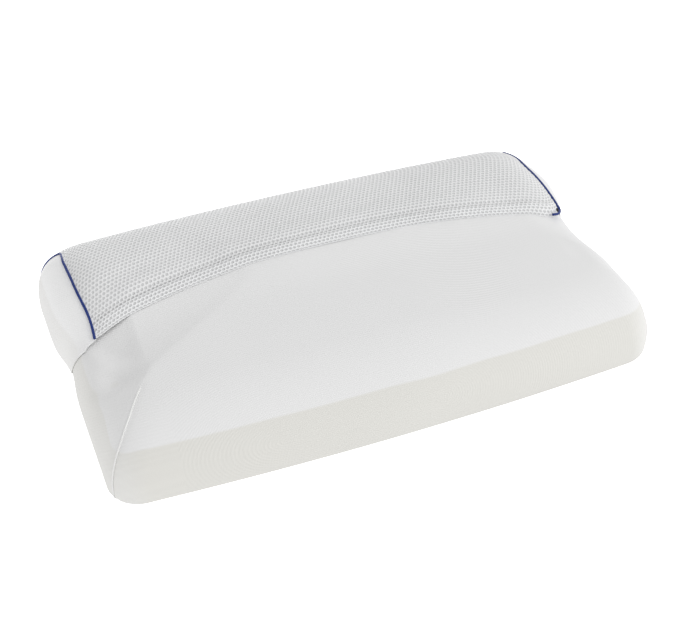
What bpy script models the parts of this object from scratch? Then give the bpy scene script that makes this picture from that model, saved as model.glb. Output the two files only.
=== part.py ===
"""Bed pillow of two foam layers in a knit undercover, its outer cover drawn back over the rear half.

Metres, +Z up. The long side runs along X, the bare front half faces -Y, and the pillow lies on z = 0.
The skins all follow one filled form, worked out from the sizes below in the form's own frame. An empty
carries every piece, so that the origin lies under the middle of the whole part.
"""
import math
from collections import namedtuple

import bmesh
import bpy
from mathutils import Vector

# Place of the form's middle in the part's frame
FORM_SHIFT = (-0.0015, -0.0050, 0.0)

# Filled form, measured over the undercover
HALF_LENGTH = 0.350
FRONT_HALF_WIDTH = 0.2125
REAR_HALF_WIDTH = 0.2180
REAR_END_SWELL = 0.0035
REAR_SWELL_RUN = 0.090
LONG_SIDE_BOW = 0.058
CORNER_RADIUS = 0.036
CROWN_CORNER_RADIUS = 0.030
WIDEST_HEIGHT = 0.0180
UNDER_ROUNDING = 0.020
FOAM_PARTING_HEIGHT = 0.0725

# Shoulders, as the run from the widest outline in to the crown and the fullness of the curve
FRONT_SHOULDER = 0.101
END_SHOULDER = 0.082
REAR_SHOULDER = 0.100
FRONT_FULLNESS = 2.15
END_FULLNESS = 2.60

# Crown across the pillow, a row for each lobe and the valley between them
Lobe = namedtuple("Lobe", "y height")
CROWN = (
    Lobe(y=-0.085, height=0.0990),
    Lobe(y=-0.010, height=0.0975),
    Lobe(y=0.110, height=0.1145),
)
CROWN_END_FALL = 0.003

# Soft dents drawn in by the undercover's corner seam and by the pull of the outer cover
Dent = namedtuple("Dent", "x y half_length half_width turn depth")
DENTS = (
    Dent(x=-0.300, y=-0.060, half_length=0.075, half_width=0.034, turn=math.radians(86), depth=0.0050),
    Dent(x=-0.205, y=-0.020, half_length=0.085, half_width=0.022, turn=math.radians(40), depth=0.0028),
    Dent(x=0.262, y=-0.020, half_length=0.070, half_width=0.024, turn=math.radians(-70), depth=0.0022),
)

# Thicknesses and gaps
TOUCHING_GAP = 0.0003
JERSEY_THICKNESS = 0.0010
COVER_CLEARANCE = 0.0020
MESH_THICKNESS = 0.0024
HEM_THICKNESS = 0.0052
PLAIN_THICKNESS = 0.0012
PIPING_RADIUS = 0.0017
PANEL_SETBACK = PIPING_RADIUS + TOUCHING_GAP
BASE_LIFT = PLAIN_THICKNESS + TOUCHING_GAP
BASE_LIFT_START = -0.080
BASE_LIFT_END = -0.030

# Slack of the outer cover, which stands away from the form at its right front corner
SLACK_STAND_OFF = 0.0045
SLACK_START_X = 0.255
SLACK_FULL_X = 0.320
SLACK_MIDDLE_Y = 0.030
SLACK_REACH_Y = 0.120

# Front edge of the outer cover: arched back over the top, then down each end to the underside
HEM_MIDDLE_Y = 0.052
HEM_END_Y = 0.004
HEM_ARCH_HALF = 0.3254
HEM_ARCH_POWER = 2.6
HEM_FULL_WIDTH = 0.0126
HEM_FADE_WIDTH = 0.0108
HEM_EDGE_WIDTH = 0.0030
HEM_EDGE_THINNING = 0.45
HEM_END_CELLS = 2.0
END_EDGE_Y = -0.001
END_EDGE_FLOOR_Y = 0.055
END_EDGE_HEIGHT = 0.085
END_EDGE_POWER = 2.2

# Lattice of cells on a cube from -1 to 1, which the form stretches over
CELLS_LONG = 20
CELLS_WIDE = 12
CELLS_HIGH = 9
CELLS_BELOW_WIDEST = 3
COVER_CELLS_WIDE = 8
COVER_ROW_POWER = 1.5
LATTICE_CORNER = 0.2
LATTICE_WIDEST = -1.0 + 2.0 * CELLS_BELOW_WIDEST / CELLS_HIGH
PIPING_CELLS_FROM_TOP = 2
LATTICE_PIPING = 1.0 - 2.0 * PIPING_CELLS_FROM_TOP / CELLS_HIGH
PIPING_POINTS_ALONG = 22
PIPING_POINTS_DOWN = 14
PIPING_SMOOTHING_PASSES = 2
LATTICE_PIPING_END = LATTICE_WIDEST - 0.35
CASING_OPENING_HALF = 0.45
EDGE_SEARCH_REACH = 0.9
EDGE_SEARCH_HALVINGS = 30
NORMAL_STEP = 0.01
SAME_PLACE = 1e-6
CUT_MERGE_DISTANCE = 1e-7

SHARP_DEGREES = 50.0

# Surface colours: red, green, blue, then roughness
Finish = namedtuple("Finish", "red green blue roughness")
WHITE_FOAM = Finish(0.86, 0.86, 0.86, 0.90)
CREAM_FOAM = Finish(0.80, 0.78, 0.70, 0.90)
WHITE_JERSEY = Finish(0.88, 0.88, 0.88, 0.80)
WHITE_MESH = Finish(0.84, 0.84, 0.85, 0.70)
WHITE_PANEL = Finish(0.88, 0.88, 0.87, 0.75)
BLUE_PIPING = Finish(0.02, 0.05, 0.30, 0.50)


def ease(share):
    """Smooth step from 0 to 1."""
    share = min(max(share, 0.0), 1.0)
    return share * share * (3.0 - 2.0 * share)


def crown_height(y):
    height = CROWN[0].height
    for near, far in zip(CROWN, CROWN[1:]):
        height += (far.height - near.height) * ease((y - near.y) / (far.y - near.y))
    return height


def dent_depth(x, y):
    depth = 0.0
    for dent in DENTS:
        along = (x - dent.x) * math.cos(dent.turn) + (y - dent.y) * math.sin(dent.turn)
        aside = (y - dent.y) * math.cos(dent.turn) - (x - dent.x) * math.sin(dent.turn)
        reach = (along / dent.half_length) ** 2 + (aside / dent.half_width) ** 2
        depth += dent.depth * math.exp(-2.0 * reach)
    return depth


def spread(place, corner_share):
    """Lattice place as a share of the half side, so that the corner always takes the same cells."""
    size = abs(place)
    straight = 1.0 - LATTICE_CORNER
    if size <= straight:
        share = size / straight * (1.0 - corner_share)
    else:
        share = 1.0 - corner_share * (1.0 - size) / LATTICE_CORNER
    return math.copysign(share, place)


def corner_turn(place):
    """Angle by which a side has turned at a lattice place, up to 45 degrees at its end."""
    past = (abs(place) - (1.0 - LATTICE_CORNER)) / LATTICE_CORNER
    return max(past, 0.0) * math.pi / 4.0


def end_share(long_place, wide_place):
    """How far a side faces along X: 0 on the long sides, 1 on the ends."""
    if abs(wide_place) >= abs(long_place):
        return math.sin(corner_turn(long_place)) ** 2
    return math.cos(corner_turn(wide_place)) ** 2


def ring_point(u, v, half_x, half_y, radius):
    """Plan point of a rounded rectangle, for shares u and v of which one is -1 or 1."""
    if abs(v) >= abs(u):
        past = (abs(u) * half_x - (half_x - radius)) / radius
        if past <= 0.0:
            return u * half_x, math.copysign(half_y, v)
        turn = past * math.pi / 4.0
        x = half_x - radius + radius * math.sin(turn)
        y = half_y - radius + radius * math.cos(turn)
    else:
        past = (abs(v) * half_y - (half_y - radius)) / radius
        if past <= 0.0:
            return math.copysign(half_x, u), v * half_y
        turn = past * math.pi / 4.0
        x = half_x - radius + radius * math.cos(turn)
        y = half_y - radius + radius * math.sin(turn)
    return math.copysign(x, u), math.copysign(y, v)


def form_point(long_place, wide_place, high_place):
    """Point of the filled form for a place on the cube from -1 to 1."""
    towards_front = wide_place < 0.0
    half_width = FRONT_HALF_WIDTH if towards_front else REAR_HALF_WIDTH
    if high_place >= LATTICE_WIDEST:
        angle = (high_place - LATTICE_WIDEST) / (1.0 - LATTICE_WIDEST) * math.pi / 2.0
        ends = end_share(long_place, wide_place)
        side_fullness = FRONT_FULLNESS if towards_front else END_FULLNESS
        power = 2.0 / (side_fullness + (END_FULLNESS - side_fullness) * ends)
        inset = 1.0 - max(math.cos(angle), 0.0) ** power
        rise = math.sin(angle) ** power
        shoulder = FRONT_SHOULDER if towards_front else REAR_SHOULDER
        half_x = HALF_LENGTH - END_SHOULDER * inset
        half_y = half_width - shoulder * inset
        radius = CORNER_RADIUS + (CROWN_CORNER_RADIUS - CORNER_RADIUS) * inset
    else:
        angle = (LATTICE_WIDEST - high_place) / (LATTICE_WIDEST + 1.0) * math.pi / 2.0
        inset = 1.0 - math.cos(angle)
        rise = -math.sin(angle)
        half_x = HALF_LENGTH - UNDER_ROUNDING * inset
        half_y = half_width - UNDER_ROUNDING * inset
        radius = CORNER_RADIUS - 0.5 * UNDER_ROUNDING * inset
    u = spread(long_place, radius / half_x)
    v = spread(wide_place, radius / half_y)
    reach = max(abs(u), abs(v), SAME_PLACE)
    x, y = ring_point(u / reach, v / reach, half_x, half_y, radius)
    x *= reach
    y *= reach
    y *= 1.0 - LONG_SIDE_BOW * (x / HALF_LENGTH) ** 2
    x += REAR_END_SWELL * ease(y / REAR_SWELL_RUN) * x / HALF_LENGTH
    if rise >= 0.0:
        top = crown_height(y) - CROWN_END_FALL * (x / HALF_LENGTH) ** 4
        z = WIDEST_HEIGHT + (top - WIDEST_HEIGHT) * rise - dent_depth(x, y) * rise ** 2
    else:
        lift = BASE_LIFT * ease((y - BASE_LIFT_START) / (BASE_LIFT_END - BASE_LIFT_START))
        z = lift + (WIDEST_HEIGHT - lift) * (1.0 + rise)
    return Vector((x, y, z))


def form_normal(long_place, wide_place, high_place):
    """Outward direction of the form on one of its ends, from two short steps along it."""
    low, high = high_place - NORMAL_STEP, min(high_place + NORMAL_STEP, 1.0)
    near, far = wide_place - NORMAL_STEP, min(wide_place + NORMAL_STEP, 1.0)
    up = form_point(long_place, wide_place, high) - form_point(long_place, wide_place, low)
    back = form_point(long_place, far, high_place) - form_point(long_place, near, high_place)
    normal = back.cross(up).normalized()
    return normal * math.copysign(1.0, long_place)


def hem_y(x):
    """Place of the outer cover's front edge over the top."""
    arch = min(abs(x) / HEM_ARCH_HALF, 1.0) ** HEM_ARCH_POWER
    return HEM_MIDDLE_Y + (HEM_END_Y - HEM_MIDDLE_Y) * arch


def end_edge_y(height):
    """Place of the outer cover's front edge on an end, curving back towards the underside."""
    below = max(1.0 - height / END_EDGE_HEIGHT, 0.0)
    return END_EDGE_Y + (END_EDGE_FLOOR_Y - END_EDGE_Y) * below ** END_EDGE_POWER


def edge_place(long_place, high_place):
    """Lattice place of the cover's front edge, found by halving."""
    low, high = -EDGE_SEARCH_REACH, EDGE_SEARCH_REACH
    for _ in range(EDGE_SEARCH_HALVINGS):
        middle = 0.5 * (low + high)
        point = form_point(long_place, middle, high_place)
        over_top = high_place >= LATTICE_PIPING
        target = hem_y(point.x) if over_top else end_edge_y(point.z)
        if high_place <= -1.0:
            target = END_EDGE_FLOOR_Y
        if point.y < target:
            low = middle
        else:
            high = middle
    return low


def cover_row_share(wide_place):
    """Cover lattice row, from 0 at the front edge to 1 at the rear, with close rows at the hem."""
    return (0.5 * (wide_place + 1.0)) ** COVER_ROW_POWER


def cover_place(place):
    """Place on the form's cube for a place on the cover's own cube."""
    edge = edge_place(place.x, place.z)
    return Vector((place.x, edge + (1.0 - edge) * cover_row_share(place.y), place.z))


def lattice(cells_wide):
    """Cube from -1 to 1 cut into a regular lattice of cells."""
    mesh = bmesh.new()
    bmesh.ops.create_cube(mesh, size=2.0)
    for axis, cells in ((0, CELLS_LONG), (1, cells_wide), (2, CELLS_HIGH)):
        along = []
        for edge in mesh.edges:
            if abs(edge.verts[0].co[axis] - edge.verts[1].co[axis]) > SAME_PLACE:
                along.append(edge)
        bmesh.ops.subdivide_edges(mesh, edges=along, cuts=cells - 1, use_grid_fill=True)
    return mesh


def place_key(place):
    return tuple(round(value, 4) for value in place)


def shell_step(vertex):
    """Outward step of a vertex that moves its faces by one unit."""
    return vertex.normal * vertex.calc_shell_factor()


def split_quads(mesh):
    """Turns the faces outward and splits each one the same way on every skin."""
    bmesh.ops.recalc_face_normals(mesh, faces=mesh.faces)
    bmesh.ops.triangulate(mesh, faces=mesh.faces, quad_method="FIXED")
    mesh.normal_update()


def form_mesh(outward):
    """Closed mesh of the form, moved outward by a distance that may be negative."""
    mesh = lattice(CELLS_WIDE)
    for vertex in mesh.verts:
        vertex.co = form_point(*vertex.co)
    split_quads(mesh)
    steps = [shell_step(vertex) for vertex in mesh.verts]
    for vertex, step in zip(mesh.verts, steps):
        vertex.co += step * outward
    return mesh


def above_base(place):
    """0 on the underside, 1 from the widest outline upwards."""
    return min((place.z + 1.0) / (LATTICE_WIDEST + 1.0), 1.0)


def cover_clearance(place, point):
    """Distance of the cover's inner side from the form; at the right end the slack cover stands away."""
    clearance = TOUCHING_GAP + (COVER_CLEARANCE - TOUCHING_GAP) * above_base(place)
    endwards = ease((point.x - SLACK_START_X) / (SLACK_FULL_X - SLACK_START_X))
    sideways = ease(1.0 - abs(point.y - SLACK_MIDDLE_Y) / SLACK_REACH_Y)
    return clearance + SLACK_STAND_OFF * endwards * sideways * ease(above_base(place))


def cover_skin():
    """Inner side of the outer cover: a point for each place of its lattice."""
    mesh = lattice(COVER_CELLS_WIDE)
    places = [vertex.co.copy() for vertex in mesh.verts]
    for vertex in mesh.verts:
        vertex.co = form_point(*cover_place(vertex.co))
    bmesh.ops.recalc_face_normals(mesh, faces=mesh.faces)
    front = [face for face in mesh.faces if all(on_front(places[vertex.index]) for vertex in face.verts)]
    bmesh.ops.delete(mesh, geom=front, context="FACES_ONLY")
    mesh.normal_update()
    skin = {}
    for place, vertex in zip(places, mesh.verts):
        skin[place_key(place)] = vertex.co + shell_step(vertex) * cover_clearance(place, vertex.co)
    mesh.free()
    return skin


def add_object(name, data, carrier, finish):
    """Object with its own material, carried by the part's empty."""
    material = bpy.data.materials.new(name)
    material.use_nodes = True
    shader = material.node_tree.nodes["Principled BSDF"]
    shader.inputs["Base Color"].default_value = (finish.red, finish.green, finish.blue, 1.0)
    shader.inputs["Roughness"].default_value = finish.roughness
    shader.inputs["Metallic"].default_value = 0.0
    data.materials.append(material)
    piece = bpy.data.objects.new(name, data)
    piece.parent = carrier
    carrier.users_collection[0].objects.link(piece)
    return piece


def add_mesh_object(name, mesh, carrier, finish):
    data = bpy.data.meshes.new(name)
    mesh.to_mesh(data)
    mesh.free()
    data.shade_smooth()
    data.set_sharp_from_angle(angle=math.radians(SHARP_DEGREES))
    return add_object(name, data, carrier, finish)


def add_solidify(piece, thickness, offset):
    modifier = piece.modifiers.new("Cloth thickness", "SOLIDIFY")
    modifier.thickness = thickness
    modifier.offset = offset
    modifier.use_even_offset = True
    return modifier


def make_foam(carrier):
    """Two foam layers, parted by a level plane."""
    inward = -(JERSEY_THICKNESS + TOUCHING_GAP)
    half_gap = 0.5 * TOUCHING_GAP
    layers = (
        ("foam_lower_layer", -half_gap, 1.0, CREAM_FOAM),
        ("foam_upper_layer", half_gap, -1.0, WHITE_FOAM),
    )
    for name, shift, direction, finish in layers:
        mesh = form_mesh(inward)
        everything = mesh.verts[:] + mesh.edges[:] + mesh.faces[:]
        plane = Vector((0.0, 0.0, FOAM_PARTING_HEIGHT + shift))
        cut = bmesh.ops.bisect_plane(
            mesh, geom=everything, dist=CUT_MERGE_DISTANCE, plane_co=plane,
            plane_no=(0.0, 0.0, direction), clear_outer=True)
        rim = [item for item in cut["geom_cut"] if isinstance(item, bmesh.types.BMEdge)]
        bmesh.ops.edgenet_fill(mesh, edges=rim)
        bmesh.ops.recalc_face_normals(mesh, faces=mesh.faces)
        add_mesh_object(name, mesh, carrier, finish)


def make_casing(carrier):
    """Undercover shell, open along a slit low at the rear."""
    mesh = lattice(CELLS_WIDE)
    slit = []
    for face in mesh.faces:
        middle = face.calc_center_median()
        low_row = LATTICE_WIDEST < middle.z < LATTICE_WIDEST + 2.0 / CELLS_HIGH
        if middle.y > 1.0 - SAME_PLACE and low_row and abs(middle.x) < CASING_OPENING_HALF:
            slit.append(face)
    bmesh.ops.delete(mesh, geom=slit, context="FACES")
    for vertex in mesh.verts:
        vertex.co = form_point(*vertex.co)
    split_quads(mesh)
    piece = add_mesh_object("jersey_casing", mesh, carrier, WHITE_JERSEY)
    add_solidify(piece, JERSEY_THICKNESS, -1.0)


def draw_back(mesh, places, at_seam, distance):
    """Moves a panel's border in along the cloth where it meets another panel or the piping."""
    moves = []
    for vertex in mesh.verts:
        if not (vertex.is_boundary and at_seam(places[vertex.index])):
            continue
        others = [edge.other_vert(vertex) for edge in vertex.link_edges]
        inner = [other for other in others if not at_seam(places[other.index])]
        way = Vector((0.0, 0.0, 0.0))
        for other in inner or others:
            way += (other.co - vertex.co).normalized()
        moves.append((vertex, way.normalized() * distance * (1.0 if inner else math.sqrt(2.0))))
    for vertex, move in moves:
        vertex.co += move


def panel_mesh(skin, holds):
    """Part of the cover's skin, with its lattice places."""
    mesh = lattice(COVER_CELLS_WIDE)
    others = [face for face in mesh.faces if not holds(face.calc_center_median())]
    bmesh.ops.delete(mesh, geom=others, context="FACES")
    mesh.verts.index_update()
    places = [vertex.co.copy() for vertex in mesh.verts]
    for vertex, place in zip(mesh.verts, places):
        vertex.co = skin[place_key(place)]
    mesh.normal_update()
    return mesh, places


def on_rear(place):
    return place.y > 1.0 - SAME_PLACE


def on_end(place):
    return abs(place.x) > 1.0 - SAME_PLACE


def on_base(place):
    return place.z < -1.0 + SAME_PLACE


def on_front(place):
    return place.y < -1.0 + SAME_PLACE


def at_piping(place):
    """On the seam that runs back along an end and down the rear corner."""
    return on_end(place) and (on_rear(place) or abs(place.z - LATTICE_PIPING) < SAME_PLACE)


def mesh_panel_holds(middle):
    if on_front(middle) or on_base(middle):
        return False
    return not on_end(middle) or middle.z > LATTICE_PIPING


def hem_weight(place):
    """Share of the hem's thickness at a place: full in the turned edge, thin low at the rear."""
    thin = PLAIN_THICKNESS / HEM_THICKNESS
    plain = MESH_THICKNESS / HEM_THICKNESS
    low = above_base(place)
    if low < 1.0:
        return thin + (plain - thin) * low
    full_run = (REAR_HALF_WIDTH - REAR_SHOULDER) - HEM_MIDDLE_Y
    distance = cover_row_share(place.y) * full_run
    fade = 1.0 - ease((distance - HEM_FULL_WIDTH) / HEM_FADE_WIDTH)
    bulge = fade * (1.0 - HEM_EDGE_THINNING * ease(1.0 - distance / HEM_EDGE_WIDTH))
    from_piping = 0.5 * (place.z - LATTICE_PIPING) * CELLS_HIGH / HEM_END_CELLS
    return plain + (1.0 - plain) * bulge * (ease(from_piping) if on_end(place) else 1.0)


def make_mesh_panel(carrier, skin):
    """Top and rear of the cover, with a thick turned hem along its front edge."""
    mesh, places = panel_mesh(skin, mesh_panel_holds)
    draw_back(mesh, places, at_piping, PANEL_SETBACK)
    draw_back(mesh, places, on_base, TOUCHING_GAP)
    weights = [hem_weight(place) for place in places]
    piece = add_mesh_object("cover_mesh_panel", mesh, carrier, WHITE_MESH)
    group = piece.vertex_groups.new(name="hem thickness")
    for index, weight in enumerate(weights):
        group.add([index], weight, "REPLACE")
    modifier = add_solidify(piece, HEM_THICKNESS, 1.0)
    modifier.vertex_group = group.name


def make_end_panel(carrier, skin, name, side):
    def holds(middle):
        return on_end(middle) and middle.x * side > 0.0 and middle.z < LATTICE_PIPING

    mesh, places = panel_mesh(skin, holds)
    draw_back(mesh, places, at_piping, PANEL_SETBACK)
    draw_back(mesh, places, on_base, TOUCHING_GAP)
    piece = add_mesh_object(name, mesh, carrier, WHITE_PANEL)
    add_solidify(piece, PLAIN_THICKNESS, 1.0)


def make_base_panel(carrier, skin):
    mesh, places = panel_mesh(skin, on_base)
    draw_back(mesh, places, lambda place: on_rear(place) or on_end(place), TOUCHING_GAP)
    piece = add_mesh_object("cover_base_panel", mesh, carrier, WHITE_PANEL)
    add_solidify(piece, PLAIN_THICKNESS, 1.0)


def piping_route(side):
    """Middle line of the piping: back along the end seam, then down the rear corner."""
    cover_middle = 0.5 * MESH_THICKNESS + PIPING_RADIUS
    edge = edge_place(side, LATTICE_PIPING)
    places = []
    for step in range(PIPING_POINTS_ALONG):
        share = step / PIPING_POINTS_ALONG
        places.append((side, edge + (1.0 - edge) * share, LATTICE_PIPING))
    for step in range(PIPING_POINTS_DOWN):
        share = step / PIPING_POINTS_DOWN
        places.append((side, 1.0, LATTICE_PIPING + (LATTICE_PIPING_END - LATTICE_PIPING) * share))
    points = []
    for place in places:
        point = form_point(*place)
        outward = cover_clearance(Vector(place), point) + cover_middle
        points.append(point + form_normal(*place) * outward)
    for _ in range(PIPING_SMOOTHING_PASSES):
        inner = [(a + 2.0 * b + c) / 4.0 for a, b, c in zip(points, points[1:], points[2:])]
        points = [points[0]] + inner + [points[-1]]
    return points


def make_piping(carrier, name, side):
    points = piping_route(side)
    curve = bpy.data.curves.new(name, "CURVE")
    curve.dimensions = "3D"
    curve.bevel_depth = PIPING_RADIUS
    curve.bevel_resolution = 2
    curve.use_fill_caps = True
    spline = curve.splines.new("POLY")
    spline.points.add(len(points) - 1)
    for spline_point, point in zip(spline.points, points):
        spline_point.co = (point.x, point.y, point.z, 1.0)
    add_object(name, curve, carrier, BLUE_PIPING)


def main():
    for item in list(bpy.data.objects):
        bpy.data.objects.remove(item, do_unlink=True)
    collection = bpy.data.collections.new("pillow")
    bpy.context.scene.collection.children.link(collection)
    carrier = bpy.data.objects.new("pillow_carrier", None)
    carrier.location = FORM_SHIFT
    collection.objects.link(carrier)
    make_foam(carrier)
    make_casing(carrier)
    skin = cover_skin()
    make_mesh_panel(carrier, skin)
    make_end_panel(carrier, skin, "cover_end_panel_left", -1.0)
    make_end_panel(carrier, skin, "cover_end_panel_right", 1.0)
    make_base_panel(carrier, skin)
    make_piping(carrier, "piping_left", -1.0)
    make_piping(carrier, "piping_right", 1.0)
    bpy.context.view_layer.update()


main()
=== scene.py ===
"""Looks of the foam pillow.

A knit undercover lies over two foam layers, and a mesh cover is drawn back over its rear half.
Metres, +Z up. The core's form is worked out on a cube from -1 to 1, as long, wide and high places.
The cover's cloth is laid on the core by lines cast out from an axis inside it, and stands off it
by its own height.
"""

import math
from collections import namedtuple

import bpy
import numpy as np
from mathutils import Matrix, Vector
from mathutils.bvhtree import BVHTree


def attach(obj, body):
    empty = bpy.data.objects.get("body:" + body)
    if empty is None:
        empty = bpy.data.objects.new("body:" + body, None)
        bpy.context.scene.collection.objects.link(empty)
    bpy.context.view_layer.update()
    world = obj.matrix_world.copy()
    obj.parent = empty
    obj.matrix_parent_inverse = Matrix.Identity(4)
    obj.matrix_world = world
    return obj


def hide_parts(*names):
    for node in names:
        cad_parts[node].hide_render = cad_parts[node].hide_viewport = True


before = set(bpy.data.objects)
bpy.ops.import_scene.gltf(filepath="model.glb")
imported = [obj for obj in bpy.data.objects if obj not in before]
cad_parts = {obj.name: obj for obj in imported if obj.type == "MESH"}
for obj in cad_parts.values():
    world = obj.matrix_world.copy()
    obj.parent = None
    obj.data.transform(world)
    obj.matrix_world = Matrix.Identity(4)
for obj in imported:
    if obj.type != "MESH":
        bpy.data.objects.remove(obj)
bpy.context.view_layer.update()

# Filled form of the core, measured over the undercover
FORM_SHIFT = np.array((-0.0015, -0.0050, 0.0))
HALF_LENGTH = 0.350
FRONT_HALF_WIDTH = 0.2125
REAR_HALF_WIDTH = 0.2180
REAR_END_SWELL = 0.0035
REAR_SWELL_RUN = 0.090
LONG_SIDE_BOW = 0.058
CORNER_RADIUS = 0.036
CROWN_CORNER_RADIUS = 0.030
WIDEST_HEIGHT = 0.0180
UNDER_ROUNDING = 0.020
FOAM_PARTING_HEIGHT = 0.0725
FRONT_SHOULDER = 0.101
END_SHOULDER = 0.082
RIGHT_FRONT_SHOULDER_TRIM = 0.038
TRIM_START_WIDE = 0.05
TRIM_FULL_WIDE = -0.55
REAR_SHOULDER = 0.100
FRONT_FULLNESS = 2.15
END_FULLNESS = 2.60
Lobe = namedtuple("Lobe", "y height")
CROWN = (
    Lobe(y=-0.085, height=0.0990),
    Lobe(y=-0.010, height=0.0975),
    Lobe(y=0.110, height=0.1145),
)
CROWN_END_FALL = 0.003
BASE_LIFT = 0.0015
BASE_LIFT_START = -0.080
BASE_LIFT_END = -0.030
LEFT_PINCH = 0.0062
LEFT_PINCH_Y = 0.040
LEFT_PINCH_HALF = 0.036

# Pulls of the undercover: the top falls away on the left of a line from start to end, steepest
# at the line, and the outer cover follows it by the share in cover
Pull = namedtuple("Pull", "start end depth width fade near far cover")
PULLS = (
    Pull((-0.350, -0.192), (-0.267, -0.074), depth=0.0140, width=0.026,
         fade=0.048, near=0.25, far=1.0, cover=0.0),
    Pull((-0.273, -0.084), (-0.262, 0.070), depth=0.0128, width=0.027,
         fade=0.055, near=1.0, far=0.5, cover=0.50),
    Pull((-0.270, -0.080), (-0.105, 0.036), depth=0.0108, width=0.046,
         fade=0.110, near=1.0, far=0.4, cover=0.97),
    Pull((0.283, 0.045), (0.290, -0.084), depth=0.0008, width=0.014,
         fade=0.030, near=0.6, far=1.0, cover=1.0),
    Pull((0.287, -0.084), (0.335, -0.098), depth=0.0006, width=0.012,
         fade=0.030, near=1.0, far=0.6, cover=1.0),
)
PULL_STEEPNESS = 1.5
PULL_END_SOFTNESS = 0.030
PULL_LINE_SOFTNESS = 0.10
PULL_LOWEST = 0.030
PULL_FULL = 0.060

# Unevenness of soft foam: two crossed waves, as radians per metre in x, y and z
FOAM_WAVE_DEPTH = 0.00030
FOAM_WAVES = ((31.0, 17.0, 0.0), (-9.0, 23.0, 40.0))
FOAM_WAVE_FADE = 0.03

# Cube lattice that the form stretches over
CORE_CELLS = (200, 120, 76)
COVER_CELLS = (150, 90, 60)
LATTICE_CORNER = 0.2
LATTICE_WIDEST = -1.0 + 2.0 / 3.0
LATTICE_PIPING_END = LATTICE_WIDEST - 0.35

# Seam between the mesh panel and each end panel: high places at wide places from hem to rear corner
SEAM_WIDE = (0.0, 0.30, 0.60, 0.80, 0.90, 1.0)
LEFT_SEAM_HIGH = (0.58, 0.58, 0.58, 0.565, 0.54, 0.45)
RIGHT_SEAM_HIGH = (0.44, 0.41, 0.42, 0.43, 0.46, 0.46)
# Below the rear corner the left seam leans onto the end, over this run of high places
LEFT_CORNER_SEAM_LEAN = 0.045
CORNER_SEAM_LEAN_RUN = 0.40
SEAM_ROUTE_SMOOTHING = 6

# Outer cover: thicknesses and stand-off
COVER_CLEARANCE = 0.0007
END_STAND_OFF = 0.0008
PANEL_SNUG_RUN = 0.050
END_CLEARANCE_START_X = 0.30
END_CLEARANCE_RUN = 0.04
TOUCHING_GAP = 0.0003
MESH_THICKNESS = 0.0024
HEM_THICKNESS = 0.0042
HEM_TOUCH_RUN = 0.012
PLAIN_THICKNESS = 0.0012
# The slack cover stands further off the core at the right end
SLACK_STAND_OFF = 0.0045
SLACK_START_X = 0.255
SLACK_FULL_X = 0.320
SLACK_MIDDLE_Y = 0.030
SLACK_REACH_Y = 0.120

# The right end panel bulges just under its seam: shares of its way down and of its way back
RIGHT_PANEL_SWELL = 0.0068
RIGHT_PANEL_SWELL_DOWN = 0.11
RIGHT_PANEL_SWELL_HALF = 0.10
RIGHT_PANEL_SWELL_TOP = 0.10
RIGHT_PANEL_SWELL_FRONT = 0.10
RIGHT_PANEL_SWELL_AT_EDGE = 0.45
RIGHT_PANEL_SWELL_REAR = 0.55

# Front edge of the outer cover: its hem over the top, then its plain edge down each end
HEM_MIDDLE_Y = 0.052
HEM_LEFT_Y = 0.004
HEM_RIGHT_Y = 0.007
HEM_ARCH_HALF = 0.3254
HEM_ARCH_POWER = 2.6
HEM_WIDTH = 0.0150
HEM_STEP_RUN = 0.009
HEM_END_RUN = 0.022
HEM_EVEN_RUN = 0.022
HEM_CORNER_X = 0.3270
HEM_CORNER_RADIUS = 0.030
HEM_CORNER_PIPED = 0.026
HEM_CORNER_POINTS = 12
HEM_CORNER_GAP = 0.002
END_EDGE_Y = -0.001
END_EDGE_FLOOR_Y = 0.055
END_EDGE_HEIGHT = 0.085
END_EDGE_POWER = 2.2
RIGHT_END_EDGE_Y = 0.040
RIGHT_END_EDGE_POWER = 0.7
END_EDGE_SEARCH = (-0.5, 0.9)
END_EDGE_HALVINGS = 30
END_EDGE_TOP_SHARE = 0.12
END_PANEL_GRID = (60, 90)
BASE_PANEL_GRID = (30, 80)

# Laying the mesh panel: the axis that lines are cast from, and the grid of points laid on the core
AXIS_Y = 0.060
AXIS_Z = 0.020
CAST_START = math.radians(128)
CAST_STEPS = 150
LAID_COLUMNS = 230
LAID_ROWS = 120
LAID_SMOOTHING = 6

# Holes of the mesh: six-sided wells in staggered rows along the hem
HOLE_PITCH = 0.00575
HOLE_RADIUS = 0.00228
HOLE_FLOOR_RADIUS = 0.00200
HOLE_WIDENING = 1.12
HOLE_DEPTH = 0.0005
HEM_HOLE_SCALE = 1.07
HEM_HOLE_DEPTH = 0.0008
HEM_HOLE_FADE = 0.004
GROOVE_HOLE_DEPTH = 0.0017
GROOVE_BEHIND = 0.0205
GROOVE_HALF = 0.0045
HOLE_CORNERS = (210.0, 270.0, 330.0, 30.0, 90.0, 150.0)

# Folds behind the hem, and where the hem's round edge starts underneath
GROOVE_DEPTH = 0.0017
GROOVE_FOLD_HALF = 0.0048
RIDGE_HEIGHT = 0.0014
RIDGE_BEHIND = 0.036
SECOND_GROOVE_DEPTH = 0.0008
SECOND_GROOVE_BEHIND = 0.058
WIDE_FOLD_HALF = 0.010
Wander = namedtuple("Wander", "share rate phase")
FOLD_WANDERS = (Wander(0.35, 21.0, 0.6), Wander(0.20, 47.0, 0.0))
FOLD_END_GAP = 0.02
FOLD_END_RUN = 0.06
ROLL_START = math.radians(-20)

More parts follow.
